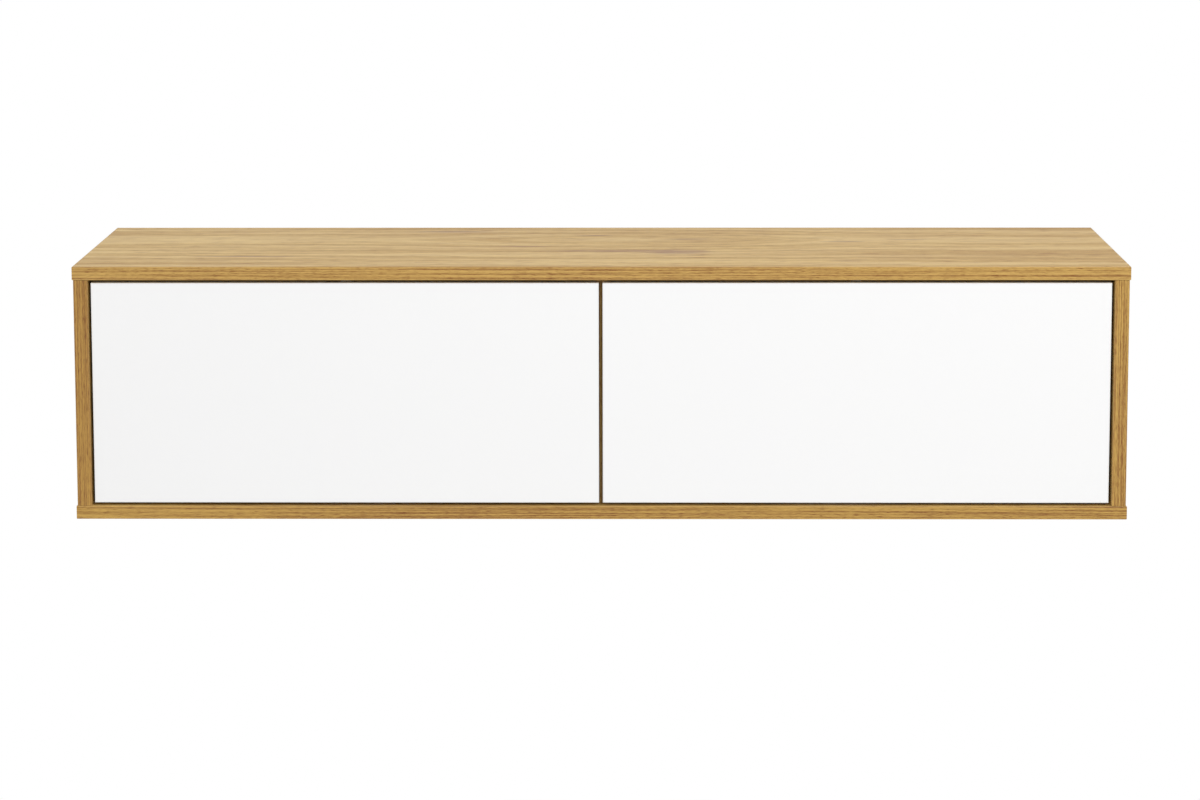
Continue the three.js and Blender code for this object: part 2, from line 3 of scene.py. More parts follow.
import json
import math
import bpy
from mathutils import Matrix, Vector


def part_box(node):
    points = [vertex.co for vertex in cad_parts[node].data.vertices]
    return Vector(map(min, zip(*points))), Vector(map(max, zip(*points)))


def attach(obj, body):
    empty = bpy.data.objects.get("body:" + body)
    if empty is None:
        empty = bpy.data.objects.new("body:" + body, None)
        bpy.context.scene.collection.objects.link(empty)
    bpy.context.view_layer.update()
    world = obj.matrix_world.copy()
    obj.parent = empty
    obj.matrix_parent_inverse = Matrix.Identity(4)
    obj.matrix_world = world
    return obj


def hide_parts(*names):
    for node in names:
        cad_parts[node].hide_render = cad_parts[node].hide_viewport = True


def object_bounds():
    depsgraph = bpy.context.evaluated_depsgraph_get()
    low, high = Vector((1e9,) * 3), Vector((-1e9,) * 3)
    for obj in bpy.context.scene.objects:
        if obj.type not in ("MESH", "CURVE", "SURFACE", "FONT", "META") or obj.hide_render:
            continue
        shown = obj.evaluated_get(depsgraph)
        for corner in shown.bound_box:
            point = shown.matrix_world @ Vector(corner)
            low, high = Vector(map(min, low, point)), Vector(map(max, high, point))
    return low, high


bl_info = {
    "name": "Floating Media Console",
    "version": (1, 0, 0),
    "blender": (4, 5, 0),
    "location": "View3D > Sidebar > Console",
    "description": "Finishes, small fittings and stage of a wall-hung media console",
    "category": "Object",
}

import bmesh
import bpy
from bpy.props import FloatProperty, FloatVectorProperty, PointerProperty
from mathutils import Matrix, Vector

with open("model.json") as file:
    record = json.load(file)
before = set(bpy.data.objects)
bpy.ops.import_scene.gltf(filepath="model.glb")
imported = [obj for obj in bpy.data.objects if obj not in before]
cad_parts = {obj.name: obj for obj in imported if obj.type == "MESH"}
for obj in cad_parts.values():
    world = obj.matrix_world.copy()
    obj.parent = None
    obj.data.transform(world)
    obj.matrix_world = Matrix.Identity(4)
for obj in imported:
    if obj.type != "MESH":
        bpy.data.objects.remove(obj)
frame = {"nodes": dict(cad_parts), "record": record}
CAD_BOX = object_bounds()
MM = 0.001
NODES = frame["nodes"]
RECORD = frame["record"]
SIDES = ("left", "right")
PLACES = ("outer", "inner")


def corner_box(node_name):
    """The low and the high corner of a CAD node."""
    low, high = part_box(node_name)
    return Vector(low), Vector(high)


def body_of_node(node_name):
    for body, names in RECORD["behaviour"]["bodies"].items():
        if node_name in names:
            return body
    raise RuntimeError(f"no body holds {node_name}")


def joint_place(name):
    for joint in RECORD["behaviour"]["joints"]:
        if joint["name"] == name:
            return Vector(joint["pos_m"])
    raise RuntimeError(f"no joint {name}")


# Sizes and colours that a user would change

def length(name, default, description):
    return FloatProperty(name=name, description=description, default=default,
                         unit="LENGTH", precision=4)


def angle(name, degrees, description):
    return FloatProperty(name=name, description=description, default=math.radians(degrees),
                         subtype="ANGLE")


def share(name, default, description):
    return FloatProperty(name=name, description=description, default=default,
                         subtype="FACTOR", min=0, max=1)


def colour(name, code, description):
    """A colour property whose default is given as it looks on screen, such as b98f55."""
    levels = [int(code[i:i + 2], 16) / 255 for i in (0, 2, 4)]
    linear = [v / 12.92 if v <= 0.04045 else ((v + 0.055) / 1.055) ** 2.4 for v in levels]
    return FloatVectorProperty(name=name, description=description, default=linear, size=3,
                               subtype="COLOR", min=0, max=1)


class ConsoleCamera(bpy.types.PropertyGroup):
    place: FloatVectorProperty(name="Place", description="Where the camera stands", unit="LENGTH",
                               subtype="TRANSLATION", size=3, default=(0.04781, -4.83625, 0.70793))
    lens: FloatProperty(name="Lens", description="Focal length in millimetres on a 36 mm sensor",
                        default=101.79, min=1)
    pitch: angle("Pitch", 7.316, "How far the camera looks down")
    yaw: angle("Yaw", -0.625, "How far the camera looks to its right")
    roll: angle("Roll", -0.0955, "How far the camera leans to its right")
    rise: FloatProperty(name="Shift", description="Upward shift as a share of the image width",
                        default=-0.15)


class ConsoleStage(bpy.types.PropertyGroup):
    floor_drop: length("Floor drop", 0.9, "Height of the console's underside above the floor")
    floor_reach: length("Floor reach", 12.0, "Half the side of the floor")
    floor_colour: colour("Floor colour", "eeeeee", "Colour of the floor")
    fade_start: length("Fade start", 0.50, "How far from the middle the floor starts to turn white")
    fade_end: length("Fade end", 1.30, "How far from the middle the floor is white")
    glow: share("Floor glow", 0.55, "How much of the seen floor is white light in the middle")
    sky: FloatProperty(name="Sky", description="Strength of the even light", default=0.64, min=0)
    key_power: FloatProperty(name="Key", description="Power of the upper right lamp", default=60,
                             min=0, unit="POWER")
    fill_power: FloatProperty(name="Fill", description="Power of the front lamp", default=30,
                              min=0, unit="POWER")


class OakDecor(bpy.types.PropertyGroup):
    light: colour("Light wood", "dab770", "Wood between the growth lines")
    dark: colour("Dark wood", "b48b4b", "Wood in the growth lines")
    pore: colour("Pores", "7d5a34", "Open pores along the grain")
    flush: colour("Heart streak", "93684a", "Pinkish streaks of heartwood")
    band_light: colour("Band light", "c59f54", "Edge band between its lines")
    band_dark: colour("Band dark", "926427", "Lines of the edge band")
    # Painted highlight: a paler colour laid along the arrises, where light would catch them
    arris: colour("Arris", "dcb574", "Painted highlight along the band's arrises")
    joint: colour("Joint", "5d4326", "Fine joint between board and edge band")
    band_thickness: length("Band thickness", 0.0010, "Thickness of the edge band")
    roughness: share("Roughness", 0.5, "Roughness of the decor")


class Laminate(bpy.types.PropertyGroup):
    white: colour("White", "f7f7f7", "Matt white laminate")
    band: colour("Edge band", "f1f1ef", "White edge band of the flaps")
    joint: colour("Joint", "bdbdb8", "Fine joint between laminate and edge band")
    band_thickness: length("Band thickness", 0.0010, "Thickness of the white edge band")
    roughness: share("Roughness", 0.42, "Roughness of the laminate")


class Fittings(bpy.types.PropertyGroup):
    nickel: colour("Nickel", "c9c7c2", "Nickel-plated steel")
    zinc: colour("Zinc", "b4b8bb", "Zinc-plated steel")
    plastic: colour("Plastic", "a5a7aa", "Moulded grey plastic")
    cap: colour("Cap", "b58c54", "Plastic caps over the cam fittings")
    hinge_screw: length("Hinge screw", 0.0076, "Head of a screw in a hinge plate")
    cup_screw: length("Cup screw", 0.0068, "Head of a screw in a hinge cup's flange")
    stay_screw: length("Stay screw", 0.0072, "Head of a screw in a stay's housing or bracket")
    latch_screw: length("Latch screw", 0.0058, "Head of a screw in a latch's ears")
    arm_screw: length("Arm screw", 0.0056, "Head of an adjusting screw on a hinge arm")
    adjuster: length("Hanger adjuster", 0.0074, "Head of an adjusting screw in a hanger")
    cap_diameter: length("Cap diameter", 0.0170, "Caps over the cam fittings")
    cap_inset: length("Cap inset", 0.0340, "From the end of a side panel to the middle of its cams")
    cap_setback: length("Cap setback", 0.0480, "From the front edge to the front cams")
    cap_spacing: length("Cap spacing", 0.2400, "From the front cams to the rear cams")
    edge_round: length("Edge round", 0.0003, "Rounding of the hardware's edges")


# Node helpers

class Output:
    """An output socket. Arithmetic on it adds maths nodes to its tree."""

    def __init__(self, socket):
        self.socket = socket
        self.tree = socket.id_data

    def __add__(self, other):
        return calc("ADD", self, other)

    def __sub__(self, other):
        return calc("SUBTRACT", self, other)

    def __rsub__(self, other):
        return calc("SUBTRACT", other, self)

    def __mul__(self, other):
        return calc("MULTIPLY", self, other)

    def __truediv__(self, other):
        return calc("DIVIDE", self, other)

    def __abs__(self):
        return calc("ABSOLUTE", self)


def tree_of(*values):
    """The node tree of the first output among plain and linked values."""
    return next(value.tree for value in values if isinstance(value, Output))


def outputs_of(node):
    return {socket.name: Output(socket) for socket in node.outputs}


def feed(socket, value):
    """Links an output to an input socket, or sets the socket to a plain value."""
    if isinstance(value, Output):
        value.tree.links.new(value.socket, socket)
    elif socket.type == "RGBA":
        socket.default_value = (*value[:3], 1)
    else:
        socket.default_value = value


def put(tree, kind, inputs=None, **settings):
    """Adds a node, sets its properties, and feeds its inputs by name or number."""
    node = tree.nodes.new(kind)
    for key, value in settings.items():
        setattr(node, key, value)
    for key, value in (inputs or {}).items():
        feed(node.inputs[key], value)
    return node


def put_for(tree, kind, inputs=None, output=0, **settings):
    """Adds a node like put, and gives the one output that is wanted of it."""
    return Output(put(tree, kind, inputs, **settings).outputs[output])


def calc(operation, *values):
    return put_for(tree_of(*values), "ShaderNodeMath", dict(enumerate(values)),
                   operation=operation)


def smallest(first, *others):
    for other in others:
        first = calc("MINIMUM", first, other)
    return first


def largest(first, *others):
    for other in others:
        first = calc("MAXIMUM", first, other)
    return first


def mix(kind, factor, first, second, **settings):
    """Mixes two values of one kind: FLOAT, VECTOR or RGBA."""
    slot, output = {"FLOAT": (2, 0), "VECTOR": (4, 1), "RGBA": (6, 2)}[kind]
    return put_for(tree_of(factor, first, second), "ShaderNodeMix",
                   {0: factor, slot: first, slot + 1: second}, output, data_type=kind, **settings)


def join(x, y, z=0.0):
    return put_for(tree_of(x, y, z), "ShaderNodeCombineXYZ", {0: x, 1: y, 2: z})


def split(vector):
    node = put(vector.tree, "ShaderNodeSeparateXYZ", {0: vector})
    return [Output(socket) for socket in node.outputs]


def stretch(vector, scale):
    return put_for(vector.tree, "ShaderNodeMapping", {"Vector": vector, "Scale": scale})


def ramp(value, low, high):
    """0 below low, 1 above high, smooth between."""
    return put_for(value.tree, "ShaderNodeMapRange", {0: value, 1: low, 2: high},
                   interpolation_type="SMOOTHSTEP")


def noise(vector, scale=1.0, detail=2.0, rough=0.5):
    return put_for(vector.tree, "ShaderNodeTexNoise",
                   {"Vector": vector, "Scale": scale, "Detail": detail, "Roughness": rough}, "Fac")


def point(tree, kind="Object"):
    """The shaded point in the object's own coordinates, or its normal."""
    return put_for(tree, "ShaderNodeTexCoord", output=kind)


def new_group(name, inputs, outputs, kind="ShaderNodeTree"):
    """A group with named sockets: its tree, its values by name, and the inputs of its end."""
    tree = bpy.data.node_groups.new(name, kind)
    for label, form, default in inputs:
        socket = tree.interface.new_socket(label, in_out="INPUT", socket_type=f"NodeSocket{form}")
        if default is not None:
            socket.default_value = default
    for label, form in outputs:
        tree.interface.new_socket(label, in_out="OUTPUT", socket_type=f"NodeSocket{form}")
    given = outputs_of(put(tree, "NodeGroupInput"))
    return tree, given, put(tree, "NodeGroupOutput").inputs


def use_group(tree, name, inputs):
    """Puts a group into a tree and gives its outputs by name."""
    group = bpy.data.node_groups[name]
    return outputs_of(put(tree, "ShaderNodeGroup", inputs, node_tree=group))


def new_material(name, **plain):
    """A material with one Principled shader, whose plain numbers are set on its own sockets."""
    material = bpy.data.materials.new(name)
    material.use_nodes = True
    tree = material.node_tree
    shader = tree.nodes["Principled BSDF"]
    for key, value in plain.items():
        shader.inputs[key.replace("_", " ").title()].default_value = value
    return material, tree, shader


def bump(shader, height, strength, distance):
    feed(shader.inputs["Normal"], put_for(height.tree, "ShaderNodeBump", {
        "Strength": strength, "Distance": distance, "Height": height}))


# Oak decor. Grain coordinates are (along the grain, across it), in metres.

FACING = (0.80, 0.86)     # how squarely a face looks along an axis, from not at all to fully
ARRIS = (0.95, 0.99)      # the same for the arrises, which look along none
EDGE_SHIFT = (3.1, 5.3)   # takes the grain of the long edges away from that of the faces
END_SHIFT = (7.7, 9.1)    # the same for the ends
BAND_END = (0.95, 1.05)   # soft end of the band, in band thicknesses
JOINT_PLACE = 1.1         # middle of the joint behind the band, in band thicknesses
JOINT_END = (0.05, 0.2)   # soft end of the joint on both sides of its middle


def build_board_faces():
    """Grain coordinates on every face of a board, and masks of its edge band and rear edge."""
    tree, given, sink = new_group(
        "Board Faces",
        [("Upright", "Float", 0.0), ("Low Corner", "Vector", None),
         ("High Corner", "Vector", None), ("Band Thickness", "Float", 0.001)],
        [("Vector", "Vector"), ("Band", "Float"), ("Joint", "Float"), ("Arris", "Float"),
         ("Rear", "Float")])
    x, y, z = split(point(tree))
    nx, ny, nz = split(point(tree, "Normal"))

    def either(lying, standing):
        return mix("FLOAT", given["Upright"], lying, standing)

    along, thick = either(x, z), either(z, x)
    broad = ramp(abs(either(nz, nx)), *FACING)
    ends = ramp(abs(either(nx, nz)), *FACING)
    front_vector = join(along + EDGE_SHIFT[0], thick + EDGE_SHIFT[1])
    end_vector = join(y + END_SHIFT[0], thick + END_SHIFT[1])
    edge_vector = mix("VECTOR", ends, front_vector, end_vector)
    feed(sink["Vector"], mix("VECTOR", broad, edge_vector, join(along, y)))

    low, high = split(given["Low Corner"]), split(given["High Corner"])
    inset = smallest(y - low[1], high[1] - y, x - low[0], high[0] - x)
    depth = inset / given["Band Thickness"]
    feed(sink["Band"], largest(1 - broad, 1 - ramp(depth, *BAND_END)))
    joint = 1 - ramp(abs(depth - JOINT_PLACE), *JOINT_END)
    feed(sink["Joint"], joint * broad)
    # Mask of the arrises, where the decor gets its painted highlight
    feed(sink["Arris"], 1 - ramp(largest(abs(nx), abs(ny), abs(nz)), *ARRIS))
    feed(sink["Rear"], ramp(ny, *FACING))


FLAKES = (260, 260, 620)                  # flakes per metre
FLAKE_WEIGHT, DUST_WEIGHT = 0.65, 0.45
CHIP_DARK, CHIP_LIGHT = (0.20, 0.12, 0.055), (0.56, 0.41, 0.24)


def build_chipboard():
    """Pressed wood flakes, as on an edge without a band."""
    tree, given, sink = new_group(
        "Chipboard", [("Vector", "Vector", None)], [("Color", "Color"), ("Height", "Float")])
    flakes = put_for(tree, "ShaderNodeTexVoronoi", {
        "Vector": stretch(given["Vector"], FLAKES), "Scale": 1.0, "Randomness": 1.0}, "Color")
    dust = noise(given["Vector"], scale=900.0, detail=3.0, rough=0.7)
    tone = split(flakes)[0] * FLAKE_WEIGHT + dust * DUST_WEIGHT
    feed(sink["Color"], mix("RGBA", tone, CHIP_DARK, CHIP_LIGHT))
    feed(sink["Height"], tone)


# Patterns of the grain: repeats per metre along and across it, weight in the tone, and for
# marks the range of the noise over which they come up
DRIFT, TREMBLE = (1.3, 6.0), (9.0, 14.0)
STREAK, STREAK_WEIGHT = (7.0, 44.0), 1.25
FIBRE, FIBRE_WEIGHT, FIBRE_RELIEF = (34.0, 210.0), 1.8, 0.35
PATCH, PATCH_WEIGHT = (1.4, 9.0), 0.9
FLECK, FLECK_WEIGHT, FLECK_RANGE = (30.0, 130.0), 0.55, (0.54, 0.70)
PORE, PORE_WEIGHT, PORE_RANGE = (110.0, 1100.0), 0.5, (0.60, 0.72)
PORES_ON_LINES, PORES_EVERYWHERE = 0.7, 0.3
# The board's distance from the heart: changes per metre, the noise where it is nought, its range
TAPER, AT_HEART, TRUNK_DEPTH = 1.05, 0.30, 0.36
# Growth lines: changes per metre along the grain, and the range of the noise that draws them
LINE_RUN, LINE_RANGE = 1.6, (0.38, 0.64)
# The tone is 0 in light wood and 1 in dark wood, and may go a little beyond both
TONE_MIDDLE, TONE_RANGE = 0.62, (-0.25, 1.25)


def build_oak_grain():
    """Growth lines of a plain-sawn board: cuts through the cones of a slightly tapering trunk."""
    tree, given, sink = new_group(
        "Oak Grain",
        [("Vector", "Vector", None), ("Heart", "Float", 0.0), ("Line Spacing", "Float", 0.006),
         ("Waviness", "Float", 0.03), ("Tremble", "Float", 1.0), ("Line Weight", "Float", 0.62),
         ("Run", "Float", 1.0), ("Fineness", "Float", 1.0), ("Contrast", "Float", 1.0),
         ("Light", "Color", None), ("Dark", "Color", None), ("Pore", "Color", None)],
        [("Color", "Color"), ("Height", "Float"), ("Lines", "Float")])
    u, v, _ = split(given["Vector"])

    def fixed(pattern, detail=2.0):
        return noise(join(u * pattern[0], v * pattern[1]), detail=detail)

    def scaled(pattern, detail=2.0, rough=0.5):
        """Follows the group's own scales: Run along the grain, Fineness across it."""
        along, across = given["Run"] * pattern[0], given["Fineness"] * pattern[1]
        return noise(join(u * along, v * across), detail=detail, rough=rough)

    def centred(value, weight):
        return (value - 0.5) * weight

    wander = ((fixed(DRIFT) - 0.5) * given["Waviness"]
              + (scaled(TREMBLE) - 0.5) * (given["Line Spacing"] * given["Tremble"]))
    across = v + wander - given["Heart"]
    depth = (noise(join(u * TAPER, 0.0), detail=1.0) - AT_HEART) * TRUNK_DEPTH
    rings = calc("SQRT", across * across + depth * depth) / given["Line Spacing"]
    lines = ramp(noise(join(rings, u * LINE_RUN)), *LINE_RANGE)
    fibre = scaled(FIBRE, detail=3.0, rough=0.6)
    tone = (centred(lines, given["Line Weight"])
            + centred(scaled(STREAK, detail=3.0, rough=0.6), STREAK_WEIGHT)
            + centred(fibre, FIBRE_WEIGHT)
            + centred(fixed(PATCH), calc("DIVIDE", PATCH_WEIGHT, given["Fineness"]))
            + centred(ramp(scaled(FLECK), *FLECK_RANGE), FLECK_WEIGHT))
    tone = tone * given["Contrast"] + TONE_MIDDLE
    tone = put_for(tree, "ShaderNodeClamp", {0: tone, 1: TONE_RANGE[0], 2: TONE_RANGE[1]})
    wood = mix("RGBA", tone, given["Light"], given["Dark"], clamp_factor=False)
    pores = (ramp(fixed(PORE, detail=1.0), *PORE_RANGE) * PORE_WEIGHT
             * (lines * PORES_ON_LINES + PORES_EVERYWHERE))
    feed(sink["Color"], mix("RGBA", pores, wood, given["Pore"]))
    feed(sink["Height"], fibre * FIBRE_RELIEF - pores)
    feed(sink["Lines"], lines)


RIPPLE, RIPPLE_WEIGHT = (14.0, 160.0), 1.3    # breaks up the mark's edge
MARK_END = 1.1                                # the mark fades out from its middle to here


def build_streak():
    """A long mark that tapers to both ends, centred on the given place."""
    _, given, sink = new_group(
        "Heart Streak",
        [("Vector", "Vector", None), ("Along", "Float", 0.0), ("Across", "Float", 0.0),
         ("Half Length", "Float", 0.1), ("Half Width", "Float", 0.01)],
        [("Mask", "Float")])
    u, v, _ = split(given["Vector"])
    ripple = noise(join(u * RIPPLE[0], v * RIPPLE[1]), detail=3.0, rough=0.6)
    along = (u - given["Along"]) / given["Half Length"]
    across = (v - given["Across"]) / given["Half Width"]
    edge = along * along + abs(across) + (ripple - 0.5) * RIPPLE_WEIGHT
    feed(sink["Mask"], 1 - ramp(edge, 0.0, MARK_END))


TOP_STREAKS = (
    # along, across, half length, half width: places on the top board seen in the photo
    (0.102, -0.258, 0.060, 0.0360),
    (0.030, -0.246, 0.140, 0.0150),
    (0.335, -0.150, 0.040, 0.0110),
    (0.430, -0.130, 0.030, 0.0080),
    (-0.215, -0.045, 0.075, 0.0170),
    (-0.110, -0.200, 0.050, 0.0060),
    (0.120, -0.125, 0.045, 0.0070),
    (-0.010, -0.085, 0.035, 0.0080),
    (0.330, -0.345, 0.030, 0.0070),
    (-0.480, -0.300, 0.090, 0.0080),
)
BROAD_GRAIN = {"Line Spacing": 0.016, "Waviness": 0.035, "Contrast": 0.9}
BAND_GRAIN = {"Heart": 1.0, "Line Spacing": 0.0015, "Line Weight": 0.75, "Waviness": 0.010,
              "Run": 3.0, "Fineness": 7.0, "Contrast": 1.3}
BACK_GRAIN = {"Heart": -0.1, "Waviness": 0.05, "Contrast": 0.9}
# How much a heart streak follows the growth lines and the relief, and shows everywhere
MARK_ON_LINES, MARK_ON_RELIEF, MARK_EVERYWHERE = 0.40, 2.5, 0.15
# Weights of the dark joint and of the painted highlight on the arrises
JOINT_WEIGHT, ARRIS_HIGHLIGHT_WEIGHT = 0.5, 0.30
ROUGHER_LINES, ROUGHER_REAR = 0.10, 0.3
WOOD_RELIEF = (0.35, 0.2 * MM)                # strength and depth of the bump


def oak_material(name, node_name, heart, offset, tone, streaks=()):
    """Oak decor for one board, laid out from the board's own box.

    The tone is the edge band's: its shares of red, green and blue.
    """
    decor = bpy.context.scene.oak_decor
    material, tree, shader = new_material(name)
    low, high = corner_box(node_name)
    upright = high.z - low.z > high.x - low.x
    spare = Vector((1, 0, 0)) if upright else Vector((0, 0, 0))
    faces = use_group(tree, "Board Faces", {
        "Upright": float(upright), "Low Corner": low - spare, "High Corner": high + spare,
        "Band Thickness": decor.band_thickness})
    place = faces["Vector"]
    vector = put_for(tree, "ShaderNodeVectorMath", {0: place, 1: offset}, operation="ADD")

    def toned(tint):
        return [part * value for part, value in zip(tone, tint)]

    broad = use_group(tree, "Oak Grain", {
        **BROAD_GRAIN, "Vector": vector, "Heart": heart, "Light": decor.light,
        "Dark": decor.dark, "Pore": decor.pore})
    band = use_group(tree, "Oak Grain", {
        **BAND_GRAIN, "Vector": vector, "Light": toned(decor.band_light),
        "Dark": toned(decor.band_dark), "Pore": decor.pore})
    wood = broad["Color"]
    for along, across, half_length, half_width in streaks:
        mark = use_group(tree, "Heart Streak", {
            "Vector": place, "Along": along, "Across": across,
            "Half Length": half_length, "Half Width": half_width})
        figure = (broad["Lines"] * MARK_ON_LINES + broad["Height"] * MARK_ON_RELIEF
                  + MARK_EVERYWHERE)
        wood = mix("RGBA", mark["Mask"] * figure, wood, decor.flush)
    wood = mix("RGBA", faces["Joint"] * JOINT_WEIGHT, wood, decor.joint)
    wood = mix("RGBA", faces["Band"], wood, band["Color"])
    # Painted highlight: the arrises are painted paler, as light catching them would show
    wood = mix("RGBA", faces["Arris"] * ARRIS_HIGHLIGHT_WEIGHT, wood, decor.arris)
    raw = use_group(tree, "Chipboard", {"Vector": point(tree)})
    wood = mix("RGBA", faces["Rear"], wood, raw["Color"])
    feed(shader.inputs["Base Color"], wood)
    rough = broad["Lines"] * ROUGHER_LINES + decor.roughness + faces["Rear"] * ROUGHER_REAR
    feed(shader.inputs["Roughness"], rough)
    height = mix("FLOAT", faces["Band"], broad["Height"], band["Height"])
    height = mix("FLOAT", faces["Rear"], height, raw["Height"])
    bump(shader, height, *WOOD_RELIEF)
    return material


def finish(node_name, material):
    """Gives a CAD node its material."""
    mesh = NODES[node_name].data
    mesh.materials.clear()
    mesh.materials.append(material)


def build_fine_grain():
    """The fine grain of a moulded, pressed or plated surface: its roughness and its height."""
    _, given, sink = new_group(
        "Fine Grain",
        [("Vector", "Vector", None), ("Scale", "Float", 1800.0), ("Roughness", "Float", 0.4),
         ("Spread", "Float", 0.1)],
        [("Roughness", "Float"), ("Height", "Float")])
    grain = noise(given["Vector"], given["Scale"], detail=3.0, rough=0.6)
    feed(sink["Roughness"], grain * given["Spread"] + given["Roughness"])
    feed(sink["Height"], grain)


WEAR_RANGE = (0.35, 0.70)       # of the noise, from the darker tone to the plain one


def build_blotches():
    """A tint that wavers between its own tone and a darker one, as handling leaves it."""
    _, given, sink = new_group(
        "Blotches",
        [("Vector", "Vector", None), ("Scale", "Float", 50.0), ("Color", "Color", None),
         ("Darker", "Color", None)],
        [("Color", "Color")])
    wear = ramp(noise(given["Vector"], given["Scale"], detail=3.0, rough=0.6), *WEAR_RANGE)
    feed(sink["Color"], mix("RGBA", wear, given["Darker"], given["Color"]))


FLAP_BAND_END = (0.98, 1.02)    # soft end of the white band, in band thicknesses
SEAM_END = (0.04, 0.12)         # soft end of the seam on both sides of its middle
CLOUD_WEIGHT, SEAM_WEIGHT = 0.10, 0.6
LAMINATE_GRAIN = {"Scale": 2600.0, "Spread": 0.08}
LAMINATE_RELIEF = (0.12, 0.1 * MM)


def white_material():
    """Matt white laminate with an edge band, mirrored about the middle of the console."""
    laminate = bpy.context.scene.laminate
    material, tree, shader = new_material("White matt laminate")
    place = point(tree)
    cloud = noise(place, scale=7.0, detail=3.0)
    tint = mix("RGBA", cloud * CLOUD_WEIGHT, laminate.white, laminate.band)
    x, _, z = split(place)
    x = abs(x)
    low, high = corner_box("right_flap")
    inset = smallest(x - low.x, high.x - x, z - low.z, high.z - z)
    depth = inset / laminate.band_thickness
    tint = mix("RGBA", 1 - ramp(depth, *FLAP_BAND_END), tint, laminate.band)
    seam = 1 - ramp(abs(depth - 1.0), *SEAM_END)
    tint = mix("RGBA", seam * SEAM_WEIGHT, tint, laminate.joint)
    feed(shader.inputs["Base Color"], tint)
    surface = use_group(tree, "Fine Grain", {
        **LAMINATE_GRAIN, "Vector": place, "Roughness": laminate.roughness})
    feed(shader.inputs["Roughness"], surface["Roughness"])
    bump(shader, surface["Height"], *LAMINATE_RELIEF)
    return material


BLOTCH_SCALE, GRAIN_SCALE, GRAIN_DEPTH = 55.0, 1200.0, 0.1 * MM
EVEN = (1, 1, 1)                # a surface that isn't brushed


def small_material(name, tint, roughness, brush, darkening, spread, relief, **plain):
    """A material of the fittings: blotches of tint over a grain that brushing can stretch."""
    material, tree, shader = new_material(name, **plain)
    place = point(tree)
    tone = use_group(tree, "Blotches", {
        "Vector": place, "Scale": BLOTCH_SCALE, "Color": tint,
        "Darker": [darkening * value for value in tint]})
    feed(shader.inputs["Base Color"], tone["Color"])
    surface = use_group(tree, "Fine Grain", {
        "Vector": stretch(place, brush), "Scale": GRAIN_SCALE, "Roughness": roughness,
        "Spread": spread})
    feed(shader.inputs["Roughness"], surface["Roughness"])
    bump(shader, surface["Height"], relief, GRAIN_DEPTH)
    return material


def metal_material(name, tint, roughness, brush=EVEN):
    return small_material(name, tint, roughness, brush, darkening=0.78, spread=0.18,
                          relief=0.10, metallic=1.0)


def plastic_material(name, tint):
    return small_material(name, tint, roughness=0.42, brush=EVEN, darkening=0.86, spread=0.15,
                          relief=0.25)


BOARD_DARK, BOARD_LIGHT = (0.19, 0.105, 0.048), (0.36, 0.22, 0.115)
SPECK, SPECK_RANGE, SPECK_WEIGHT = (0.09, 0.05, 0.025), (0.62, 0.7), 0.4
BOARD_RELIEF = (0.3, 0.2 * MM)


def back_material():
    """Oak-decor print inside, raw brown hardboard towards the wall."""
    decor = bpy.context.scene.oak_decor
    material, tree, shader = new_material("Hardboard back", roughness=0.7)
    place = point(tree)
    x, _, z = split(place)
    grain = use_group(tree, "Oak Grain", {
        **BACK_GRAIN, "Vector": join(x, z), "Light": decor.light, "Dark": decor.dark,
        "Pore": decor.pore})
    fuzz = noise(place, scale=420.0, detail=4.0, rough=0.7)
    specks = ramp(noise(place, scale=1500.0), *SPECK_RANGE)
    raw = mix("RGBA", fuzz, BOARD_DARK, BOARD_LIGHT)
    raw = mix("RGBA", specks * SPECK_WEIGHT, raw, SPECK)
    inside = calc("LESS_THAN", split(point(tree, "Normal"))[1], -0.5)
    feed(shader.inputs["Base Color"], mix("RGBA", inside, raw, grain["Color"]))
    bump(shader, fuzz, *BOARD_RELIEF)
    return material


# Stage

LAMPS = (
    # name, property of its power, width and height, place, target
    ("Key", "key_power", (2.6, 2.0), (2.2, -3.0, 2.6), (0, -0.2, -0.1)),
    ("Fill", "fill_power", (3.4, 1.8), (-0.6, -4.6, 1.2), (0, -0.3, -0.1)),
)
WHITE = (1, 1, 1)


def seen_rays(tree):
    """1 for what the camera, reflections and glass see, 0 for the light on the console."""
    path = outputs_of(put(tree, "ShaderNodeLightPath"))
    return largest(path["Is Camera Ray"], path["Is Glossy Ray"], path["Is Transmission Ray"])


def floor_material(stage):
    """A pale floor that keeps the shadow, fades to white further out, and is clear from below."""
    material, tree, shader = new_material("Pale floor", roughness=0.9)
    place = point(tree)
    mottle = noise(place, scale=3.0, detail=3.0)
    paler = [min(1.0, 1.03 * value) for value in stage.floor_colour]
    feed(shader.inputs["Base Color"], mix("RGBA", mottle, stage.floor_colour, paler))
    x, y, _ = split(place)
    off = calc("SQRT", x * x + y * y)
    whitening = mix("FLOAT", ramp(off, stage.fade_start, stage.fade_end), stage.glow, 1.0)
    white = put_for(tree, "ShaderNodeEmission", {"Color": WHITE, "Strength": 1.0})
    above = put_for(tree, "ShaderNodeMixShader", {
        0: seen_rays(tree) * whitening, 1: Output(shader.outputs[0]), 2: white})
    below = put_for(tree, "ShaderNodeNewGeometry", output="Backfacing")
    clear = put_for(tree, "ShaderNodeBsdfTransparent")
    whole = put_for(tree, "ShaderNodeMixShader", {0: below, 1: above, 2: clear})
    end = next(node for node in tree.nodes if node.type == "OUTPUT_MATERIAL")
    feed(end.inputs["Surface"], whole)
    return material


def area_lamp(name, power, size, place, target):
    data = bpy.data.lights.new(name, "AREA")
    data.energy = power
    data.shape = "RECTANGLE"
    data.size, data.size_y = size
    lamp = bpy.data.objects.new(name, data)
    lamp.location = place
    lamp.rotation_euler = (Vector(target) - Vector(place)).to_track_quat("-Z", "Y").to_euler()
    bpy.context.scene.collection.objects.link(lamp)


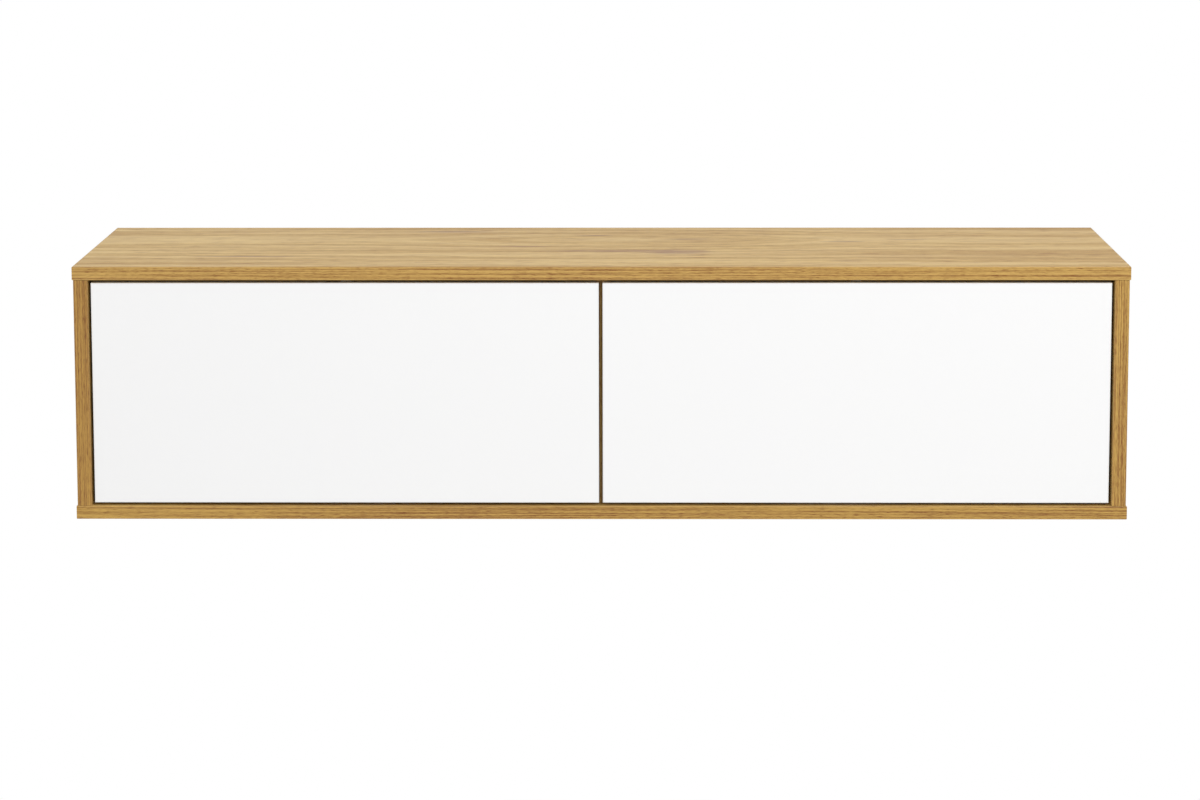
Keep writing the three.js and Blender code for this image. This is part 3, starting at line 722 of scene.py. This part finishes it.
class CONSOLE_OT_stage(bpy.types.Operator):
    """Makes the camera, the lamps, the white surroundings and the floor"""
    bl_idname = "console.stage"
    bl_label = "Stage"

    def execute(self, context):
        scene = context.scene
        scene.view_settings.view_transform = "Standard"
        self.make_camera(scene)
        self.make_world(scene)
        self.make_floor(scene)
        for name, power, *layout in LAMPS:
            area_lamp(name, getattr(scene.console_stage, power), *layout)
        return {"FINISHED"}

    def make_camera(self, scene):
        settings = scene.console_camera
        data = bpy.data.cameras.new("Camera")
        data.lens = settings.lens
        data.shift_y = settings.rise
        camera = bpy.data.objects.new("Camera", data)
        turn = (Matrix.Rotation(-settings.yaw, 4, "Z")
                @ Matrix.Rotation(math.pi / 2 - settings.pitch, 4, "X")
                @ Matrix.Rotation(settings.roll, 4, "Z"))
        camera.matrix_world = Matrix.Translation(settings.place) @ turn
        scene.collection.objects.link(camera)
        scene.camera = camera

    def make_world(self, scene):
        world = bpy.data.worlds.new("White surroundings")
        scene.world = world
        world.use_nodes = True
        tree = world.node_tree
        sky = scene.console_stage.sky
        background = tree.nodes["Background"]
        feed(background.inputs["Color"], WHITE)
        feed(background.inputs["Strength"], seen_rays(tree) * (1.0 - sky) + sky)

    def make_floor(self, scene):
        stage = scene.console_stage
        z = CAD_BOX[0][2] - stage.floor_drop
        reach = stage.floor_reach
        corners = [(-reach, -reach, z), (reach, -reach, z), (reach, reach, z), (-reach, reach, z)]
        mesh = bpy.data.meshes.new("Floor")
        mesh.from_pydata(corners, [], [(0, 1, 2, 3)])
        mesh.update()
        mesh.materials.append(floor_material(stage))
        floor = bpy.data.objects.new("Floor", mesh)
        scene.collection.objects.link(floor)


BOARDS = (
    # node, heart of the trunk across the grain, shift along it, tone of the edge band, streaks
    ("top_panel", -0.13, 0.35, (0.95, 0.91, 0.86), TOP_STREAKS),
    ("bottom_panel", -0.22, 4.2, (0.89, 0.83, 0.67), ()),
    ("left_side_panel", -0.16, 6.4, (0.79, 0.69, 0.50), ()),
    ("right_side_panel", -0.24, 9.3, (0.95, 0.91, 0.78), ()),
    ("centre_partition", -0.20, 12.6, (0.85, 0.80, 0.72), ()),
)


class CONSOLE_OT_boards(bpy.types.Operator):
    """Gives the boards their oak decor and the back panel its hardboard"""
    bl_idname = "console.boards"
    bl_label = "Boards"

    def execute(self, context):
        build_board_faces()
        build_oak_grain()
        build_streak()
        build_chipboard()
        for node_name, heart, shift, tone, streaks in BOARDS:
            name = f"Oak decor {node_name.split('_')[0]}"
            material = oak_material(name, node_name, heart, (shift, 0, 0), tone, streaks)
            finish(node_name, material)
        finish("back_panel", back_material())
        return {"FINISHED"}


class CONSOLE_OT_flaps(bpy.types.Operator):
    """Gives the two flaps their white laminate"""
    bl_idname = "console.flaps"
    bl_label = "Flaps"

    def execute(self, context):
        build_fine_grain()
        build_blotches()
        material = white_material()
        for side in SIDES:
            finish(f"{side}_flap", material)
        return {"FINISHED"}


# Hardware: every fitting is a smooth copy of its CAD node with rounded edges

WELD = 0.002 * MM                   # corners that are closer are one corner
FLAT_ANGLE = math.radians(0.5)      # facets that turn by less are one face
CREASE_ANGLE = math.radians(40)     # edges that turn by more are rounded


def soften(node_name, material):
    """Stands a copy with joined facets and rounded edges in the place of a CAD node."""
    mesh = NODES[node_name].data.copy()
    shape = bmesh.new()
    shape.from_mesh(mesh)
    bmesh.ops.remove_doubles(shape, verts=shape.verts, dist=WELD)
    bmesh.ops.dissolve_limit(shape, angle_limit=FLAT_ANGLE, verts=shape.verts, edges=shape.edges)
    shape.to_mesh(mesh)
    shape.free()
    mesh.materials.clear()
    mesh.materials.append(material)
    mesh.shade_smooth()
    mesh.set_sharp_from_angle(angle=CREASE_ANGLE)
    piece = bpy.data.objects.new(f"{node_name}_finished", mesh)
    bpy.context.scene.collection.objects.link(piece)
    rounding = piece.modifiers.new("Rounded edges", "BEVEL")
    rounding.width = bpy.context.scene.fittings.edge_round
    rounding.segments = 2
    rounding.limit_method = "ANGLE"
    rounding.angle_limit = CREASE_ANGLE
    rounding.harden_normals = True
    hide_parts(node_name)
    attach(piece, body_of_node(node_name))


def soften_all(endings, material):
    for part in RECORD["subparts"]:
        if part["node"].endswith(endings):
            soften(part["node"], material)


class CONSOLE_OT_hinges(bpy.types.Operator):
    """Finishes the concealed hinges: cups, links, arms and plates"""
    bl_idname = "console.hinges"
    bl_label = "Hinges"

    def execute(self, context):
        fittings = context.scene.fittings
        nickel = metal_material("Nickel-plated steel", fittings.nickel, roughness=0.22)
        soften_all(("_hinge_cup", "_hinge_link", "_hinge_arm", "_hinge_plate"), nickel)
        return {"FINISHED"}


class CONSOLE_OT_stays(bpy.types.Operator):
    """Finishes the flap stays: damped housings, levers, links and brackets"""
    bl_idname = "console.stays"
    bl_label = "Flap stays"

    def execute(self, context):
        fittings = context.scene.fittings
        steel = metal_material("Brushed nickel", fittings.nickel, roughness=0.30,
                               brush=(1, 1, 0.05))
        soften_all(("_stay_lever", "_stay_link", "_stay_bracket"), steel)
        soften_all(("_stay_housing",), plastic_material("Grey plastic", fittings.plastic))
        return {"FINISHED"}


class CONSOLE_OT_latches(bpy.types.Operator):
    """Finishes the push latches and their strikes"""
    bl_idname = "console.latches"
    bl_label = "Push latches"

    def execute(self, context):
        fittings = context.scene.fittings
        paler = [1.25 * value for value in fittings.plastic]
        plastic = plastic_material("Pale grey plastic", paler)
        soften_all(("_latch_housing", "_latch_plunger"), plastic)
        nickel = metal_material("Polished nickel", fittings.nickel, roughness=0.15)
        soften_all(("_latch_strike",), nickel)
        return {"FINISHED"}


class CONSOLE_OT_hangers(bpy.types.Operator):
    """Finishes the wall rail and the two hangers"""
    bl_idname = "console.hangers"
    bl_label = "Rail and hangers"

    def execute(self, context):
        fittings = context.scene.fittings
        zinc = metal_material("Zinc-plated steel", fittings.zinc, roughness=0.36,
                              brush=(0.06, 1, 1))
        soften_all(("wall_rail", "_hanger_hook"), zinc)
        soften_all(("_hanger_body",), plastic_material("Hanger plastic", fittings.plastic))
        return {"FINISHED"}


# Small round fittings that repeat: each is a chain of rising rounds, set on marked points

HEAD_SIDES = 24
CRISP_ANGLE = math.radians(35)
RECESS_HEIGHT = 1.2     # of the cutting bars, in head heights, half of it above the head
# Steps of a head: share of its height, and width against the step below
SCREW_STEPS = ((0.3, 1), (0.35, 0.9), (0.35, 0.7))
CAP_STEPS = ((0.45, 1), (0.35, 0.95), (0.2, 0.88), (-0.3, 0.86), (0.0, 0.5))
SCREW_HEIGHT, CAP_HEIGHT = 0.2, 0.07    # in diameters


def build_round_fittings(name, steps, recess):
    """Geometry Nodes tree that sets a round head on every point, turned to its direction."""
    tree, given, sink = new_group(
        name,
        [("Geometry", "Geometry", None), ("Height Share", "Float", 0.24),
         ("Recess Length Share", "Float", 0.56), ("Recess Width Share", "Float", 0.13),
         ("Twist Seed", "Int", 7), ("Material", "Material", None)],
        [("Geometry", "Geometry")], "GeometryNodeTree")
    height = given["Height Share"]
    first = height * steps[0][0]
    base = outputs_of(put(tree, "GeometryNodeMeshCylinder", {
        "Vertices": HEAD_SIDES, "Radius": 0.5, "Depth": first}))
    shape = put_for(tree, "GeometryNodeTransform", {
        "Geometry": base["Mesh"], "Translation": join(0.0, 0.0, first * 0.5)})
    top = base["Top"]
    for part, width in steps[1:]:
        grown = outputs_of(put(tree, "GeometryNodeExtrudeMesh", {
            "Mesh": shape, "Selection": top, "Offset Scale": height * part,
            "Individual": False}))
        top = grown["Top"]
        shape = put_for(tree, "GeometryNodeScaleElements", {
            "Geometry": grown["Mesh"], "Selection": top, "Scale": width})
    if recess:
        cut = put(tree, "GeometryNodeMeshBoolean", {0: shape}, operation="DIFFERENCE",
                  solver="EXACT")
        shares = [given["Recess Length Share"], given["Recess Width Share"]]
        for bar in (shares, shares[::-1]):
            cube = put_for(tree, "GeometryNodeMeshCube", {
                "Size": join(*bar, height * RECESS_HEIGHT)})
            feed(cut.inputs[1], put_for(tree, "GeometryNodeTransform", {
                "Geometry": cube, "Translation": join(0.0, 0.0, height)}))
        shape = Output(cut.outputs["Mesh"])
    shape = put_for(tree, "GeometryNodeSetShadeSmooth", {"Geometry": shape, "Shade Smooth": True})
    bend = put_for(tree, "GeometryNodeInputMeshEdgeAngle", output="Unsigned Angle")
    shape = put_for(tree, "GeometryNodeSetShadeSmooth", {
        "Geometry": shape, "Selection": calc("GREATER_THAN", bend, CRISP_ANGLE),
        "Shade Smooth": False}, domain="EDGE")

    def marked(label, kind):
        return put_for(tree, "GeometryNodeInputNamedAttribute", {"Name": label},
                       "Attribute", data_type=kind)

    facing = put_for(tree, "FunctionNodeAlignRotationToVector", {
        "Vector": marked("direction", "FLOAT_VECTOR")}, axis="Z")
    spin = put_for(tree, "FunctionNodeRandomValue", {
        2: 0.0, 3: math.pi / 2, "Seed": given["Twist Seed"]}, 1, data_type="FLOAT")
    twist = put_for(tree, "FunctionNodeEulerToRotation", {0: join(0.0, 0.0, spin)})
    turn = put_for(tree, "FunctionNodeRotateRotation", {0: facing, 1: twist},
                   rotation_space="LOCAL")
    placed = put_for(tree, "GeometryNodeInstanceOnPoints", {
        "Points": given["Geometry"], "Instance": shape, "Rotation": turn,
        "Scale": marked("diameter", "FLOAT")})
    whole = put_for(tree, "GeometryNodeRealizeInstances", {"Geometry": placed})
    feed(sink["Geometry"], put_for(tree, "GeometryNodeSetMaterial", {
        "Geometry": whole, "Material": given["Material"]}))
    return tree


def set_round_fittings(name, tree, points, body, slot, **inputs):
    """Turns (place, direction, diameter) points into one plain mesh that rides on a body."""
    mesh = bpy.data.meshes.new(f"{name} points")
    mesh.from_pydata([place for place, _, _ in points], [], [])
    mesh.attributes.new("direction", "FLOAT_VECTOR", "POINT")
    mesh.attributes.new("diameter", "FLOAT", "POINT")
    for index, (_, direction, diameter) in enumerate(points):
        mesh.attributes["direction"].data[index].vector = direction
        mesh.attributes["diameter"].data[index].value = diameter
    seats = bpy.data.objects.new(f"{name} points", mesh)
    bpy.context.scene.collection.objects.link(seats)
    modifier = seats.modifiers.new("Round fittings", "NODES")
    modifier.node_group = tree
    for item in tree.interface.items_tree:
        key = item.name.lower().replace(" ", "_")
        if item.in_out == "INPUT" and key in inputs:
            modifier[item.identifier] = inputs[key]
    graph = bpy.context.evaluated_depsgraph_get()
    finished = bpy.data.meshes.new_from_object(seats.evaluated_get(graph))
    bpy.data.objects.remove(seats)
    if not finished.polygons:
        raise RuntimeError(f"{name} came out empty")
    piece = bpy.data.objects.new(name, finished)
    bpy.context.scene.collection.objects.link(piece)
    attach(piece, body)


def board_face(side, place):
    """Where a stay's board faces the compartment, and the direction into the compartment."""
    sign = -1 if side == "left" else 1
    if place == "outer":
        low, high = corner_box(f"{side}_side_panel")
        return (low.x if sign > 0 else high.x), -sign
    low, high = corner_box("centre_partition")
    return (high.x if sign > 0 else low.x), sign


# Places of the screws on the fittings
PLATE_THICKNESS, PLATE_REACH = 2 * MM, 16 * MM
ARM_HEIGHT, ARM_INSETS = 18 * MM, (9 * MM, 27 * MM)                 # from the floor board, rear end
FLANGE_MARGIN = 6 * MM                                              # from the cup flange's end
HOUSING_TAIL, HOUSING_NEAR = Vector((0, 92, -22)) * MM, 31 * MM     # from the lever's pivot
HOUSING_FACE, BRACKET_MIDDLE = 11.2 * MM, 31.95 * MM                # from the stay's board
BRACKET_THICKNESS, BRACKET_REACH = 2 * MM, 14 * MM
EAR_SETBACK, EAR_THICKNESS, EAR_REACH = 33 * MM, 2.4 * MM, 11.75 * MM
ADJUSTER_DEPTH = 3 * MM
UP, DOWN, FORWARD, BACK = (0, 0, 1), (0, 0, -1), (0, -1, 0), (0, 1, 0)


def hinge_screws(side, place, fittings):
    """Screws of one hinge: (on the carcass, on the flap)."""
    low, high = corner_box(f"{side}_{place}_hinge_plate")
    x, y, z = (low.x + high.x) / 2, (low.y + high.y) / 2, low.z + PLATE_THICKNESS
    fixed = [((x + way * PLATE_REACH, y, z), UP, fittings.hinge_screw) for way in (-1, 1)]
    low, high = corner_box(f"{side}_{place}_hinge_arm")
    x, z = (low.x + high.x) / 2, corner_box("bottom_panel")[1].z + ARM_HEIGHT
    fixed += [((x, high.y - inset, z), UP, fittings.arm_screw) for inset in ARM_INSETS]
    low, high = corner_box(f"{side}_{place}_hinge_cup")
    x, z, reach = (low.x + high.x) / 2, (low.z + high.z) / 2, (high.x - low.x) / 2 - FLANGE_MARGIN
    moving = [((x + way * reach, high.y, z), BACK, fittings.cup_screw) for way in (-1, 1)]
    return fixed, moving


def stay_screws(side, place, fittings):
    """Screws of one stay: (in its housing, in its bracket on the flap)."""
    face, inward = board_face(side, place)
    root = joint_place(f"{side}_{place}_stay_lever_pivot")
    near = root + HOUSING_TAIL.normalized() * HOUSING_NEAR
    x = face + inward * HOUSING_FACE
    fixed = [((x, spot.y, spot.z), (inward, 0, 0), fittings.stay_screw)
             for spot in (root + HOUSING_TAIL, near)]
    low, high = corner_box(f"{side}_{place}_stay_bracket")
    x, y, z = face + inward * BRACKET_MIDDLE, low.y + BRACKET_THICKNESS, (low.z + high.z) / 2
    moving = [((x, y, z + way * BRACKET_REACH), BACK, fittings.stay_screw) for way in (-1, 1)]
    return fixed, moving


def latch_screws(side, fittings):
    low, high = corner_box(f"{side}_latch_housing")
    x, y, z = (low.x + high.x) / 2, low.y + EAR_SETBACK, high.z - EAR_THICKNESS
    return [((x + way * EAR_REACH, y, z), DOWN, fittings.latch_screw) for way in (-1, 1)]


def hanger_screws(side, fittings):
    low, high = corner_box(f"{side}_hanger_body")
    x, y, quarter = (low.x + high.x) / 2, low.y + ADJUSTER_DEPTH, (high.z - low.z) / 4
    return [((x, y, z), FORWARD, fittings.adjuster) for z in (low.z + quarter, high.z - quarter)]


class CONSOLE_OT_screws(bpy.types.Operator):
    """Sets the cross-recess screws of the hinges, stays, latches and hangers"""
    bl_idname = "console.screws"
    bl_label = "Screws"

    def execute(self, context):
        fittings = context.scene.fittings
        tree = build_round_fittings("Cross-recess screws", SCREW_STEPS, recess=True)
        steel = metal_material("Screw steel", fittings.nickel, roughness=0.28)
        carcass = []
        for side in SIDES:
            flap = []
            for place in PLACES:
                for screws_of in (hinge_screws, stay_screws):
                    fixed, moving = screws_of(side, place, fittings)
                    carcass += fixed
                    flap += moving
            carcass += latch_screws(side, fittings) + hanger_screws(side, fittings)
            set_round_fittings(f"{side}_flap_screws", tree, flap, f"{side}_flap", "nickel_steel",
                               material=steel, height_share=SCREW_HEIGHT, twist_seed=11)
        set_round_fittings("carcass_screws", tree, carcass, "carcass", "nickel_steel",
                           material=steel, height_share=SCREW_HEIGHT, twist_seed=5)
        return {"FINISHED"}


class CONSOLE_OT_caps(bpy.types.Operator):
    """Sets the plastic caps over the cam fittings that hold the boards together"""
    bl_idname = "console.caps"
    bl_label = "Cam caps"

    def execute(self, context):
        fittings = context.scene.fittings
        tree = build_round_fittings("Cam caps", CAP_STEPS, recess=False)
        points = []
        for side, place in (("left", "outer"), ("right", "outer"), ("left", "inner")):
            face, inward = board_face(side, place)
            low, high = corner_box(f"{side}_side_panel")
            front = low.y + fittings.cap_setback
            for z in (low.z + fittings.cap_inset, high.z - fittings.cap_inset):
                for y in (front, front + fittings.cap_spacing):
                    points.append(((face, y, z), (inward, 0, 0), fittings.cap_diameter))
        set_round_fittings("cam_caps", tree, points, "carcass", "oak_decor",
                           material=plastic_material("Oak-brown plastic", fittings.cap),
                           height_share=CAP_HEIGHT, twist_seed=3)
        return {"FINISHED"}


class CONSOLE_PT_panel(bpy.types.Panel):
    """Lists the steps that finish the console"""
    bl_label = "Floating Media Console"
    bl_idname = "CONSOLE_PT_panel"
    bl_space_type = "VIEW_3D"
    bl_region_type = "UI"
    bl_category = "Console"

    def draw(self, context):
        for step in STEPS:
            self.layout.operator(step.bl_idname)


GROUPS = {
    "console_camera": ConsoleCamera,
    "console_stage": ConsoleStage,
    "oak_decor": OakDecor,
    "laminate": Laminate,
    "fittings": Fittings,
}
STEPS = (
    CONSOLE_OT_stage, CONSOLE_OT_boards, CONSOLE_OT_flaps, CONSOLE_OT_hinges, CONSOLE_OT_stays,
    CONSOLE_OT_latches, CONSOLE_OT_hangers, CONSOLE_OT_screws, CONSOLE_OT_caps,
)


def register():
    for name, group in GROUPS.items():
        bpy.utils.register_class(group)
        setattr(bpy.types.Scene, name, PointerProperty(type=group))
    for step in (*STEPS, CONSOLE_PT_panel):
        bpy.utils.register_class(step)


def unregister():
    for step in (CONSOLE_PT_panel, *reversed(STEPS)):
        bpy.utils.unregister_class(step)
    for name, group in GROUPS.items():
        delattr(bpy.types.Scene, name)
        bpy.utils.unregister_class(group)


def main():
    register()
    for step in STEPS:
        family, name = step.bl_idname.split(".")
        getattr(getattr(bpy.ops, family), name)()


if __name__ == "__main__":
    main()
